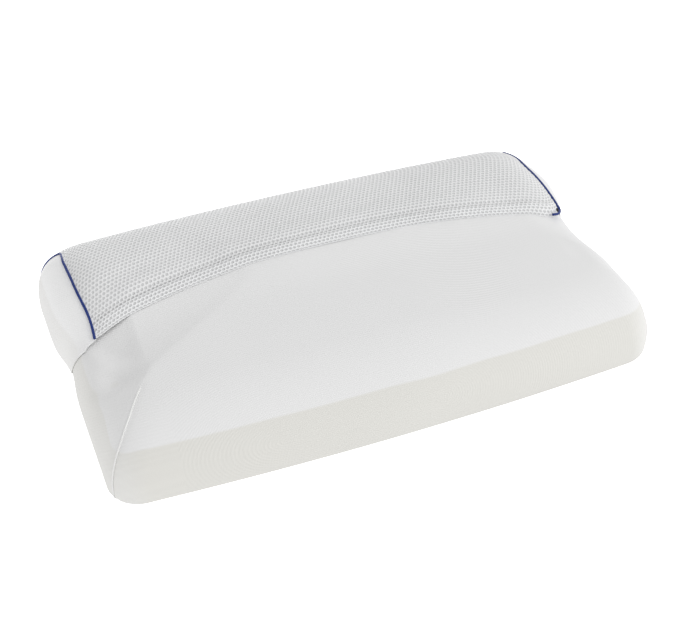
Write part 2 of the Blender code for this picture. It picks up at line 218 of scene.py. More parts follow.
# Piping: it stands proud of its seam by shares of its radius, and slims before the rear corner
PIPING_RADIUS = 0.0017
PIPING_PROUD = 0.9
PIPING_CORNER_SINK = 0.25
PIPING_SINK_RUN = 0.016
PIPING_SINK_EARLY = 0.3
PIPING_REAR_SLIM = 0.35
PIPING_SLIM_RUN = 0.040
PIPING_STEP = 0.0012
PIPING_SMOOTHING = 8
PIPING_SIDES = 14
PIPING_RIB_DEPTH = 0.05
PIPING_RIB_PITCH = 0.0042
PIPING_SWELL = 0.05
PIPING_SWELL_RATES = (160.0, 47.0)

# Undercover's sewn seams on the front corners: places on the lattice from the top down
SEAM_HIGH_PLACES = (0.88, 0.60, 0.33, -0.09, -0.60)
SEAM_WIDE_PLACES = (-0.860, -0.920, -0.940, -0.930, -0.925)
SEAM_LINE_POINTS = 160
SEAM_LINE_SMOOTHING = 20
SEAM_RADIUS = 0.0010
SEAM_SIDES = 10
SEAM_STEP = 0.00065
SEAM_STITCH_PITCH = 0.0026
SEAM_BEAD = 0.22
SEAM_TAPER_TOP = 0.010
SEAM_TAPER_END = 0.012
SEAM_TAPER_LEAST = 0.2
RIGHT_SEAM_TOP = 0.10
SEAM_DIP = 0.0006
RIGHT_SEAM_DIP = 0.0002
SEAM_DIP_HALF = 0.0045
SEAM_ZONE_X = 0.25
SEAM_ZONE_Y = -0.05

# Fine creases that fan out from the seam's lower end
CREASE_DEPTH = 0.00022
CREASE_START_Y = -0.150
CREASE_RUN = 0.030
CREASE_TOP = 0.078
CREASE_SLANT = 0.55
CREASE_RATE = 520.0
CREASE_PHASE = 1.2
CREASE_OFFSET = 0.018
CREASE_HALF = 0.020
CREASE_LOWEST_RUN = 0.015

# Materials: colours are linear red, green, blue
WHITE_KNIT = (0.80, 0.80, 0.80)
CREAM_KNIT = (0.736, 0.728, 0.692)
PANEL_WHITE = (0.90, 0.90, 0.90)
PANEL_CREAM = (0.805, 0.798, 0.782)
MESH_WHITE = (0.815, 0.817, 0.820)
HEM_WHITE = (0.88, 0.885, 0.89)
# Floors of the mesh's wells: the grey backing seen through the holes, darkened further as painted shade of
# their depth
WELL_GREY_WITH_PAINTED_SHADE = (0.635, 0.638, 0.643)
PIPING_BLUE = (0.010, 0.030, 0.175)
THREAD_WHITE = (0.84, 0.84, 0.83)

# Arches that the undercover's ribs follow: where they start on each side, and their middle in y + z
RIB_ARCH_RIGHT_X = 0.05
RIB_ARCH_LEFT_X = -0.15
RIB_ARCH_LEFT_END_X = -0.27
RIB_ARCH_LEFT_SHARE = 0.7
RIB_ARCH_MIDDLE = -0.16
# Painted shade: the colour falls to this share in the ribs' hollows
RIB_HOLLOW_PAINTED_SHADE = 0.987
LOOP_SHARE = 0.25

# Foam seen through the undercover: its parting wanders and falls slightly on the left end,
# and the cream pales on both ends
PARTING_WANDER = 0.002
PARTING_LEFT_FALL = 0.0035
END_PALING = 0.4
PALING_START_X = 0.305
PALING_END_X = 0.338

# Camera and stage
LENS = 65.74
SENSOR_WIDTH = 36.0
CAMERA_AZIMUTH = math.radians(-21.7703)
CAMERA_ELEVATION = math.radians(40.3161)
CAMERA_DISTANCE = 1.5757
CAMERA_TARGET = (-0.0093, -0.0227, 0.05)
FLOOR_SIZE = 12.0
FLOOR_DROP = 0.0002
FLOOR_WHITE = (0.85, 0.85, 0.85, 1.0)

# Soft light: a surround that is brighter to the right, two lamps on the right, one on the left
# and one behind
LAMP_AIM_HEIGHT = 0.06
SURROUND_LEVEL = 0.832
SURROUND_RIGHTWARD = 0.22
Lamp = namedtuple("Lamp", "name azimuth elevation distance size power")
LAMPS = (
    Lamp("Right lamp", math.radians(-42), math.radians(11), 3.5, 1.4, 10.2),
    Lamp("High right lamp", math.radians(-55), math.radians(30), 3.5, 1.4, 18.6),
    Lamp("Left lamp", math.radians(191), math.radians(-20), 2.4, 1.2, 15.0),
    Lamp("Rear lamp", math.radians(95), math.radians(-8), 1.8, 0.9, 14.0),
)


def ease(share):
    """Smooth step from 0 to 1."""
    share = np.clip(share, 0.0, 1.0)
    return share * share * (3.0 - 2.0 * share)


def bell(offset, half_width):
    return np.exp(-(offset / half_width) ** 2)


def crown_height(y):
    height = np.full_like(y, CROWN[0].height)
    for near, far in zip(CROWN, CROWN[1:]):
        height = height + (far.height - near.height) * ease((y - near.y) / (far.y - near.y))
    return height


def soft_positive(value, softness):
    """The value where it is well above 0, and 0 where it is well below, with a round turn between."""
    return 0.5 * (value + np.sqrt(value * value + softness * softness))


def pull_depth(x, y, under_cover):
    depth = np.zeros_like(x)
    for pull in PULLS:
        run_x = pull.end[0] - pull.start[0]
        run_y = pull.end[1] - pull.start[1]
        length = math.hypot(run_x, run_y)
        along = ((x - pull.start[0]) * run_x + (y - pull.start[1]) * run_y) / length
        aside = ((y - pull.start[1]) * run_x - (x - pull.start[0]) * run_y) / length
        fall = 1.0 - np.exp(-PULL_STEEPNESS * soft_positive(aside / pull.width, PULL_LINE_SOFTNESS))
        fall = fall * (1.0 - ease((aside - pull.width) / pull.fade))
        inside = ease(along / PULL_END_SOFTNESS + 0.5) * ease((length - along) / PULL_END_SOFTNESS + 0.5)
        strength = pull.near + (pull.far - pull.near) * np.clip(along / length, 0.0, 1.0)
        taken = pull.cover if under_cover else 1.0
        depth = depth + taken * pull.depth * fall * inside * strength
    return depth


def spread(place, corner_share):
    """Lattice place as a share of the half side, so that the corner always takes the same cells."""
    size = np.abs(place)
    straight = 1.0 - LATTICE_CORNER
    inner = size / straight * (1.0 - corner_share)
    outer = 1.0 - corner_share * (1.0 - size) / LATTICE_CORNER
    return np.copysign(np.where(size <= straight, inner, outer), place)


def corner_turn(place):
    past = (np.abs(place) - (1.0 - LATTICE_CORNER)) / LATTICE_CORNER
    return np.maximum(past, 0.0) * math.pi / 4.0


def end_share(long_place, wide_place):
    """How far a side faces along X: 0 on the long sides, 1 on the ends."""
    on_long_side = np.sin(corner_turn(long_place)) ** 2
    on_end = np.cos(corner_turn(wide_place)) ** 2
    return np.where(np.abs(wide_place) >= np.abs(long_place), on_long_side, on_end)


def side_point(along, half, across, radius):
    """Lengthwise and crosswise distance of a point on a side that ends in a round corner."""
    turn = np.maximum(along - (half - radius), 0.0) / radius * math.pi / 4.0
    lengthwise = np.where(turn > 0.0, half - radius + radius * np.sin(turn), along)
    return lengthwise, across - radius + radius * np.cos(turn)


def ring_point(u, v, half_x, half_y, radius):
    """Plan point of a rounded rectangle, for shares u and v of which one is -1 or 1."""
    side_x, side_y = side_point(np.abs(u) * half_x, half_x, half_y, radius)
    end_y, end_x = side_point(np.abs(v) * half_y, half_y, half_x, radius)
    on_side = np.abs(v) >= np.abs(u)
    x = np.copysign(np.where(on_side, side_x, end_x), u)
    return x, np.copysign(np.where(on_side, side_y, end_y), v)


def form_points(long_place, wide_place, high_place, under_cover=False):
    """Points of the filled form for places on the cube; the outer cover bridges some of the pulls."""
    long_place, wide_place, high_place = np.broadcast_arrays(long_place, wide_place, high_place)
    long_place = long_place.astype(float)
    wide_place = wide_place.astype(float)
    front = wide_place < 0.0
    half_width = np.where(front, FRONT_HALF_WIDTH, REAR_HALF_WIDTH)
    shoulder = np.where(front, FRONT_SHOULDER, REAR_SHOULDER)
    side_fullness = np.where(front, FRONT_FULLNESS, END_FULLNESS)
    power = 2.0 / (side_fullness + (END_FULLNESS - side_fullness) * end_share(long_place, wide_place))
    upper = high_place >= LATTICE_WIDEST
    angle_up = np.clip((high_place - LATTICE_WIDEST) / (1.0 - LATTICE_WIDEST), 0.0, 1.0) * math.pi / 2.0
    angle_down = np.clip((LATTICE_WIDEST - high_place) / (LATTICE_WIDEST + 1.0), 0.0, 1.0) * math.pi / 2.0
    inset_up = 1.0 - np.maximum(np.cos(angle_up), 0.0) ** power
    inset_down = 1.0 - np.cos(angle_down)
    rise = np.where(upper, np.sin(angle_up) ** power, -np.sin(angle_down))
    trimmed = ease((TRIM_START_WIDE - wide_place) / (TRIM_START_WIDE - TRIM_FULL_WIDE))
    trimmed = trimmed * (long_place > 0.0)
    end_shoulder = END_SHOULDER - RIGHT_FRONT_SHOULDER_TRIM * trimmed
    half_x = HALF_LENGTH - end_shoulder * inset_up - UNDER_ROUNDING * inset_down
    half_y = half_width - shoulder * inset_up - UNDER_ROUNDING * inset_down
    radius = CORNER_RADIUS + (CROWN_CORNER_RADIUS - CORNER_RADIUS) * inset_up
    radius = radius - 0.5 * UNDER_ROUNDING * inset_down
    u = spread(long_place, radius / half_x)
    v = spread(wide_place, radius / half_y)
    reach = np.maximum(np.maximum(np.abs(u), np.abs(v)), 1e-6)
    x, y = ring_point(u / reach, v / reach, half_x, half_y, radius)
    x = x * reach
    y = y * reach
    y = y * (1.0 - LONG_SIDE_BOW * (x / HALF_LENGTH) ** 2)
    pinch = np.where(x < 0.0, LEFT_PINCH * bell(y - LEFT_PINCH_Y, LEFT_PINCH_HALF), 0.0)
    swell = REAR_END_SWELL * ease(y / REAR_SWELL_RUN) - pinch
    x = x + swell * np.clip(x / HALF_LENGTH, -1.0, 1.0) ** 3
    top = crown_height(y) - CROWN_END_FALL * (x / HALF_LENGTH) ** 4
    lift = BASE_LIFT * ease((y - BASE_LIFT_START) / (BASE_LIFT_END - BASE_LIFT_START))
    z_upper = WIDEST_HEIGHT + (top - WIDEST_HEIGHT) * rise
    pulled = ease((z_upper - PULL_LOWEST) / (PULL_FULL - PULL_LOWEST))
    z_upper = z_upper - pull_depth(x, y, under_cover) * pulled
    z_lower = lift + (WIDEST_HEIGHT - lift) * (1.0 + rise)
    return np.stack([x, y, np.where(upper, z_upper, z_lower)], axis=-1)


def cube_lattice(cells):
    """Places on a cube from -1 to 1 cut into cells, and the quads between them, all facing out."""
    counts = np.array(cells)
    quads = []
    for axis in range(3):
        first, second = (axis + 1) % 3, (axis + 2) % 3
        i, j = np.meshgrid(np.arange(counts[first]), np.arange(counts[second]), indexing="ij")
        for end in (0, counts[axis]):
            ring = ((0, 0), (1, 0), (1, 1), (0, 1))
            corners = []
            for step_first, step_second in ring if end else ring[::-1]:
                key = np.zeros(i.shape + (3,), int)
                key[..., axis] = end
                key[..., first] = i + step_first
                key[..., second] = j + step_second
                corners.append(key.reshape(-1, 3))
            quads.append(np.stack(corners, axis=1))
    strides = np.array([1, counts[0] + 1, (counts[0] + 1) * (counts[1] + 1)])
    codes = np.concatenate(quads) @ strides
    kept, index = np.unique(codes, return_inverse=True)
    keys = np.stack([kept % strides[1], kept % strides[2] // strides[1], kept // strides[2]], axis=1)
    return keys / counts * 2.0 - 1.0, index.reshape(codes.shape)


def point_normals(points, quads):
    """Outward direction at each point of a mesh of quads."""
    corners = points[quads]
    face_normals = np.cross(corners[:, 2] - corners[:, 0], corners[:, 3] - corners[:, 1])
    normals = np.zeros_like(points)
    for corner in range(4):
        np.add.at(normals, quads[:, corner], face_normals)
    return normals / np.maximum(np.linalg.norm(normals, axis=1, keepdims=True), 1e-12)


def grid_quads(rows, columns, first=0):
    """Quads of a grid of points that is stored row by row."""
    row, column = np.meshgrid(np.arange(rows - 1), np.arange(columns - 1), indexing="ij")
    start = first + row * columns + column
    return np.stack([start, start + 1, start + columns + 1, start + columns], axis=-1).reshape(-1, 4)


def grid_normals(points):
    """Direction out of a grid of points, from the steps along its rows and columns."""
    along = np.gradient(points, axis=1)
    back = np.gradient(points, axis=0)
    normals = np.cross(along, back)
    return normals / np.linalg.norm(normals, axis=-1, keepdims=True)


def add_piece(name, points, faces, materials, face_materials=None):
    """Object of a mesh given in the form's own frame."""
    data = bpy.data.meshes.new(name)
    data.from_pydata((np.asarray(points) + FORM_SHIFT).tolist(), [], [list(face) for face in faces])
    data.shade_smooth()
    for material in materials:
        data.materials.append(material)
    if face_materials is not None:
        data.polygons.foreach_set("material_index", np.asarray(face_materials, dtype=np.int32))
    data.update()
    piece = bpy.data.objects.new(name, data)
    bpy.context.scene.collection.objects.link(piece)
    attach(piece, "root")
    return piece


def corner_seam_line(side):
    """Points of the undercover's seam on a front corner, from the top down."""
    top = SEAM_HIGH_PLACES[0] if side < 0.0 else RIGHT_SEAM_TOP
    high = np.linspace(top, SEAM_HIGH_PLACES[-1], SEAM_LINE_POINTS)
    wide = np.interp(high[::-1], SEAM_HIGH_PLACES[::-1], SEAM_WIDE_PLACES[::-1])[::-1]
    return smooth_rows(form_points(side, wide, high), SEAM_LINE_SMOOTHING)


def core_relief(points):
    """Outward steps that the undercover's seams, creases and soft foam add to the form."""
    x, y, z = points.T
    first_wave, second_wave = np.sin(points @ np.array(FOAM_WAVES).T).T
    steps = FOAM_WAVE_DEPTH * first_wave * second_wave * ease(z / FOAM_WAVE_FADE)
    for side in (-1.0, 1.0):
        line = corner_seam_line(side)
        near = np.nonzero((x * side > SEAM_ZONE_X) & (y < SEAM_ZONE_Y))[0]
        away = points[near][:, None] - line[None]
        gap = np.sqrt((away ** 2).sum(2)).min(1)
        dip = SEAM_DIP if side < 0.0 else RIGHT_SEAM_DIP
        steps[near] -= dip * bell(gap, SEAM_DIP_HALF)
        below = ease((CREASE_TOP - z[near]) / CREASE_RUN) * ease(z[near] / CREASE_LOWEST_RUN)
        toward_front = ease((CREASE_START_Y - y[near]) / CREASE_RUN) * below
        slanted = z[near] - np.abs(x[near]) * CREASE_SLANT
        fan = np.sin(slanted * CREASE_RATE + CREASE_PHASE * side)
        steps[near] += CREASE_DEPTH * fan * toward_front * bell(gap - CREASE_OFFSET, CREASE_HALF)
    return steps


def hem_y(x):
    """Place of the outer cover's front edge over the top."""
    arch = np.minimum(np.abs(x) / HEM_ARCH_HALF, 1.0) ** HEM_ARCH_POWER
    end_y = np.where(x < 0.0, HEM_LEFT_Y, HEM_RIGHT_Y)
    past = np.clip((x - (HEM_CORNER_X - HEM_CORNER_RADIUS)) / HEM_CORNER_RADIUS, 0.0, 1.0)
    corner = HEM_CORNER_RADIUS * (1.0 - np.sqrt(1.0 - past * past))
    return HEM_MIDDLE_Y + (end_y - HEM_MIDDLE_Y) * arch + corner


def end_edge_y(height, side):
    """Place of the outer cover's front edge on an end, curving back towards the underside."""
    below = np.maximum(1.0 - height / END_EDGE_HEIGHT, 0.0)
    if side < 0.0:
        return END_EDGE_Y + (END_EDGE_FLOOR_Y - END_EDGE_Y) * below ** END_EDGE_POWER
    return RIGHT_END_EDGE_Y + (END_EDGE_FLOOR_Y - RIGHT_END_EDGE_Y) * below ** RIGHT_END_EDGE_POWER


def seam_high(wide_place, side):
    """High place of the seam between the mesh panel and an end panel."""
    return np.interp(wide_place, SEAM_WIDE, LEFT_SEAM_HIGH if side < 0.0 else RIGHT_SEAM_HIGH)


def cover_form(long_place, wide_place, high_place):
    """Form that the outer cover lies on: it bridges most of the undercover's pulls."""
    return form_points(long_place, wide_place, high_place, under_cover=True)


def end_edge_places(side, down_share):
    """Wide places of an end panel's front edge, from its seam down to the floor, found by halving."""
    down_share = np.asarray(down_share, dtype=float)
    low = np.full(down_share.shape, END_EDGE_SEARCH[0])
    high = np.full(down_share.shape, END_EDGE_SEARCH[1])
    for _ in range(END_EDGE_HALVINGS):
        middle = 0.5 * (low + high)
        top = seam_high(middle, side)
        points = cover_form(side, middle, top + (-1.0 - top) * down_share)
        at_seam = hem_y(points[..., 0])
        near_seam = at_seam * (down_share < END_EDGE_TOP_SHARE)
        on_end = np.maximum(end_edge_y(points[..., 2], side), near_seam)
        target = np.where(down_share <= 0.0, at_seam, on_end)
        target = np.where(down_share >= 1.0, END_EDGE_FLOOR_Y, target)
        in_front = points[..., 1] < target
        low = np.where(in_front, middle, low)
        high = np.where(in_front, high, middle)
    return low


def smooth_rows(points, passes):
    """Evens out the steps between neighbours, with the first and last kept."""
    for _ in range(passes):
        inner = (points[:-2] + 2.0 * points[1:-1] + points[2:]) / 4.0
        points = np.concatenate([points[:1], inner, points[-1:]])
    return points


def run_along(points):
    """Distance along a line of points from its first one."""
    return np.concatenate([[0.0], np.cumsum(np.linalg.norm(np.diff(points, axis=0), axis=1))])


def points_at(steps, run, points):
    """Points of a line at given distances along it."""
    return np.stack([np.interp(steps, run, points[:, axis]) for axis in range(3)], axis=1)


def cover_clearance(points):
    """Distance of the cover's inner side from the core; at the right end the slack cover stands away."""
    above = np.clip(points[..., 2] / WIDEST_HEIGHT, 0.0, 1.0)
    clearance = TOUCHING_GAP + (COVER_CLEARANCE - TOUCHING_GAP) * above
    endwards = ease((points[..., 0] - SLACK_START_X) / (SLACK_FULL_X - SLACK_START_X))
    sideways = ease(1.0 - np.abs(points[..., 1] - SLACK_MIDDLE_Y) / SLACK_REACH_Y)
    clearance = clearance + SLACK_STAND_OFF * endwards * sideways * ease(above)
    on_end = ease((np.abs(points[..., 0]) - END_CLEARANCE_START_X) / END_CLEARANCE_RUN)
    return clearance + END_STAND_OFF * on_end * ease(above)


def seam_route(side, lowest=-1.0, count_back=80, count_down=50):
    """Line on the core under the piping, back along the end and down the rear corner, and its turn."""
    edge = float(end_edge_places(side, 0.0))
    back = np.linspace(edge, 1.0, count_back)
    down = np.linspace(float(seam_high(1.0, side)), lowest, count_down)[1:]
    lean = LEFT_CORNER_SEAM_LEAN if side < 0.0 else 0.0
    down_wide = 1.0 - lean * ease((down[0] - down) / CORNER_SEAM_LEAN_RUN)
    along_end = cover_form(side, back, seam_high(back, side))
    points = np.concatenate([along_end, cover_form(side, down_wide, down)])
    return smooth_rows(points, SEAM_ROUTE_SMOOTHING), count_back - 1


def cover_tree():
    """Tree to cast lines at, of the form that the cover lies on."""
    places, quads = cube_lattice(COVER_CELLS)
    points = cover_form(*places.T)
    return BVHTree.FromPolygons(points.tolist(), quads.tolist())


def lay_mesh_panel(tree):
    """Grid of points under the mesh panel: rows from the hem to the base seam, even along each row."""
    seams = {}
    for side in (-1.0, 1.0):
        route = seam_route(side)[0]
        route_angle = np.arctan2(route[:, 2] - AXIS_Z, route[:, 1] - AXIS_Y)
        order = np.argsort(route_angle)
        seams[side] = (route_angle[order], np.abs(route[order, 0]))
    base_half = abs(seam_route(1.0)[0][-1, 0])
    rows_share = np.linspace(0.0, 1.0, LAID_ROWS + 1)
    laid = []
    lengths = []
    for share in np.linspace(-1.0, 1.0, LAID_COLUMNS + 1):
        x_at_base = share * base_half
        bowed = 1.0 - LONG_SIDE_BOW * (x_at_base / HALF_LENGTH) ** 2
        base_y = (REAR_HALF_WIDTH - UNDER_ROUNDING) * bowed
        base_angle = math.atan2(BASE_LIFT - AXIS_Z, base_y - AXIS_Y)
        angles = np.linspace(CAST_START, base_angle, CAST_STEPS)
        xs = share * np.interp(angles, *seams[-1.0 if share < 0.0 else 1.0])
        column = []
        for x, angle in zip(xs, angles):
            way = Vector((0.0, math.cos(angle), math.sin(angle)))
            column.append(tree.ray_cast(Vector((x, AXIS_Y, AXIS_Z)), way)[0])
        column = np.array(column)
        behind = column[:, 1] - hem_y(column[:, 0])
        first = int(np.argmax(behind > 0.0))
        part = behind[first - 1] / (behind[first - 1] - behind[first])
        start = column[first - 1] + (column[first] - column[first - 1]) * part
        column = np.concatenate([start[None], column[first:]])
        run = run_along(column)
        laid.append((run, column))
        lengths.append(run[-1])
    mean_length = float(np.mean(lengths))
    columns = []
    for run, column in laid:
        back = rows_share * mean_length
        stretch = (run[-1] - HEM_EVEN_RUN) / (mean_length - HEM_EVEN_RUN)
        back = np.where(back < HEM_EVEN_RUN, back, HEM_EVEN_RUN + (back - HEM_EVEN_RUN) * stretch)
        columns.append(points_at(back, run, column))
    grid = np.stack(columns, axis=1)
    even = []
    for row in grid:
        run = run_along(row)
        even.append(points_at(np.linspace(0.0, run[-1], LAID_COLUMNS + 1), run, row))
    grid = np.stack(even)
    grid = smooth_rows(grid, LAID_SMOOTHING)
    grid = smooth_rows(grid.swapaxes(0, 1), LAID_SMOOTHING).swapaxes(0, 1)
    widths = np.linalg.norm(np.diff(grid, axis=1), axis=2).sum(axis=1)
    return grid, float(widths.mean()), mean_length


class LaidCloth:
    """Places on the laid grid, read between its points."""

    def __init__(self, grid, width, length):
        self.grid = grid
        self.width = width
        self.length = length
        self.normals = grid_normals(grid)
        backward = np.gradient(grid, axis=0)
        self.backward = backward / np.linalg.norm(backward, axis=-1, keepdims=True)

    def read(self, field, across, back):
        row = np.clip(back / self.length, 0.0, 1.0) * (field.shape[0] - 1)
        column = np.clip(across, 0.0, 1.0) * (field.shape[1] - 1)
        row_low = np.minimum(row.astype(int), field.shape[0] - 2)
        column_low = np.minimum(column.astype(int), field.shape[1] - 2)
        row_part = (row - row_low)[..., None]
        column_part = (column - column_low)[..., None]
        rows = []
        for at_row in (row_low, row_low + 1):
            left = field[at_row, column_low] * (1 - column_part)
            rows.append(left + field[at_row, column_low + 1] * column_part)
        return rows[0] * (1 - row_part) + rows[1] * row_part


def mesh_folds(points, behind):
    """Height that the drawn-back cloth's grooves and puckers add behind the hem."""
    x = points[..., 0]
    groove = -GROOVE_DEPTH * bell(behind - GROOVE_BEHIND, GROOVE_FOLD_HALF)
    ridge = RIDGE_HEIGHT * bell(behind - RIDGE_BEHIND, WIDE_FOLD_HALF)
    second = -SECOND_GROOVE_DEPTH * bell(behind - SECOND_GROOVE_BEHIND, WIDE_FOLD_HALF)
    ends = ease((HEM_ARCH_HALF - FOLD_END_GAP - np.abs(x)) / FOLD_END_RUN)
    wander = 1.0 + sum(wave.share * np.sin(wave.rate * x + wave.phase) for wave in FOLD_WANDERS)
    return (groove + ridge * wander + second * wander) * ends


def mesh_surface(cloth, across, along, sunk=0.0):
    """Point of the mesh's outer face: the cloth comes up round the hem's roll, then runs back.

    across is a share of the width, along the length of cloth from the roll's hidden underside.
    """
    from_end = np.minimum(across, 1.0 - across) * cloth.width
    full = ease(from_end / HEM_END_RUN)
    roll = (MESH_THICKNESS + (HEM_THICKNESS - MESH_THICKNESS) * full) / (1.0 - math.sin(ROLL_START))
    roll_run = roll * (math.pi / 2.0 - ROLL_START)
    turn = np.minimum(ROLL_START + along / roll, math.pi / 2.0)
    past = np.maximum(along - roll_run, 0.0)
    total = roll_length(cloth)
    behind = roll * (1.0 - np.cos(turn)) + past * (cloth.length - roll) / (total - roll_run)
    points = cloth.read(cloth.grid, across, behind)
    normals = cloth.read(cloth.normals, across, behind)
    backward = cloth.read(cloth.backward, across, behind)
    doubled = full * (1.0 - ease((behind - HEM_WIDTH) / HEM_STEP_RUN))
    thick = MESH_THICKNESS + (HEM_THICKNESS - MESH_THICKNESS) * doubled
    least = PLAIN_THICKNESS / MESH_THICKNESS
    thick = thick * (least + (1.0 - least) * np.clip(points[..., 2] / WIDEST_HEIGHT, 0.0, 1.0))
    height = np.where(past > 0.0, thick, roll * (np.sin(turn) - math.sin(ROLL_START)))
    clearance = cover_clearance(points) - TOUCHING_GAP
    clearance = TOUCHING_GAP + clearance * ease(behind / HEM_TOUCH_RUN)
    height = height + clearance + mesh_folds(points, behind) * (past > 0.0)
    out = normals * np.sin(turn)[..., None] - backward * np.cos(turn)[..., None]
    points = points + normals * height[..., None] - out * np.asarray(sunk)[..., None]
    points[..., 2] = np.maximum(points[..., 2], 0.0)
    return points


def hem_roll():
    """Radius of the round edge of the turned-under hem."""
    return HEM_THICKNESS / (1.0 - math.sin(ROLL_START))


def roll_length(cloth):
    """Length of cloth from the hidden underside of the hem's roll to the base seam."""
    roll = hem_roll()
    return roll * (math.pi / 2.0 - ROLL_START) + cloth.length - roll


def ring_quads(outer, inner):
    """Quads between two rings of points, one pair of rings in each row."""
    corners = [outer, np.roll(outer, -1, axis=1), np.roll(inner, -1, axis=1), inner]
    return np.stack(corners, axis=-1).reshape(-1, 4)


def mesh_lattice(cloth):
    """Points, faces and face materials of the mesh: staggered cells, each with a well in it."""
    across_count = round(cloth.width / HOLE_PITCH)
    row_height = HOLE_PITCH * math.sqrt(3.0) / 2.0
    total = roll_length(cloth)
    row_count = round(total / row_height)
    half_cells = 2 * across_count
    line_width = half_cells + 1
    row, half = np.meshgrid(np.arange(row_count + 1), np.arange(line_width), indexing="ij")
    line_points = mesh_surface(cloth, half.ravel() / half_cells, row.ravel() / row_count * total)
    rows = []
    starts = []
    faces = []
    for row_index in range(row_count):
        offset = row_index % 2
        first_half = np.arange(offset, half_cells - 1, 2)
        rows.append(np.full(first_half.shape, row_index))
        starts.append(first_half)
        if offset:
            for plain in (0, half_cells - 1):
                low = row_index * line_width + plain
                faces.append((low, low + 1, low + 1 + line_width, low + line_width))
    rows = np.concatenate(rows)
    starts = np.concatenate(starts)
    middle_across = (starts + 1) / half_cells
    middle_along = (rows + 0.5) / row_count * total
    turns = np.radians(np.array(HOLE_CORNERS))
    behind = middle_along - hem_roll() * (math.pi / 2.0 - 1.0 - ROLL_START)
    in_hem = 1.0 - ease((behind - HEM_WIDTH) / HEM_HOLE_FADE + 0.5)
    in_groove = bell(behind - GROOVE_BEHIND, GROOVE_HALF)
    scale = (1.0 + (HEM_HOLE_SCALE - 1.0) * in_hem)[:, None]
    widening = HOLE_WIDENING / cloth.width
    depth = HOLE_DEPTH + (HEM_HOLE_DEPTH - HOLE_DEPTH) * in_hem
    depth = depth + (GROOVE_HOLE_DEPTH - HOLE_DEPTH) * in_groove
    rim_across = middle_across[:, None] + np.cos(turns) * HOLE_RADIUS * scale * widening
    rim_along = middle_along[:, None] + np.sin(turns) * HOLE_RADIUS * scale
    rim = mesh_surface(cloth, rim_across, rim_along)
    floor_across = middle_across[:, None] + np.cos(turns) * HOLE_FLOOR_RADIUS * scale * widening
    floor_along = middle_along[:, None] + np.sin(turns) * HOLE_FLOOR_RADIUS * scale
    sunk = np.broadcast_to(depth[:, None], floor_across.shape)
    low = mesh_surface(cloth, floor_across, floor_along, sunk)
    first_corner = rows * line_width + starts
    around = (0, 1, 2, line_width + 2, line_width + 1, line_width)
    border = np.stack([first_corner + step for step in around], axis=1)
    count = len(rows)
    rim_first = len(line_points)
    low_first = rim_first + count * 6
    rim_index = rim_first + np.arange(count * 6).reshape(count, 6)
    low_index = low_first + np.arange(count * 6).reshape(count, 6)
    strands = ring_quads(border, rim_index)
    walls = ring_quads(rim_index, low_index)
    faces = faces + strands.tolist()
    strand_count = len(faces)
    faces = faces + walls.tolist() + low_index.tolist()
    face_materials = np.zeros(len(faces), dtype=np.int32)
    strand_first = strand_count - len(strands)
    doubled = np.repeat(np.where(behind < HEM_WIDTH, 2, 0), 6)
    face_materials[strand_first:strand_count] = doubled
    face_materials[strand_count:strand_count + len(walls)] = doubled
    # The wells' floors take the grey backing colour, which also carries painted shade of their depth
    face_materials[strand_count + len(walls):] = 1
    points = np.concatenate([line_points, rim.reshape(-1, 3), low.reshape(-1, 3)])
    return points, faces, face_materials


def make_group(name, inputs, outputs):
    """Shader node group with named sockets; returns its tree and its input and output nodes."""
    tree = bpy.data.node_groups.new(name, "ShaderNodeTree")
    for socket_name, kind, value in inputs:
        socket = tree.interface.new_socket(socket_name, in_out="INPUT", socket_type=kind)
        socket.default_value = value
    for socket_name, kind in outputs:
        tree.interface.new_socket(socket_name, in_out="OUTPUT", socket_type=kind)
    return tree, tree.nodes.new("NodeGroupInput"), tree.nodes.new("NodeGroupOutput")


def add_node(tree, kind, **settings):
    """Node with its properties set; in_ before an index or a name gives an input's value or link."""
    node = tree.nodes.new(kind)
    for key, value in settings.items():
        if key.startswith("in_"):
            name = key[3:]
            socket = node.inputs[int(name) if name.isdigit() else name]
            if isinstance(value, bpy.types.NodeSocket):
                tree.links.new(value, socket)
            else:
                socket.default_value = value
        else:
            setattr(node, key, value)
    return node


def math_node(tree, operation, first, second=0.0, third=0.0):
    node = add_node(tree, "ShaderNodeMath", operation=operation, in_0=first, in_1=second, in_2=third)
    return node.outputs[0]


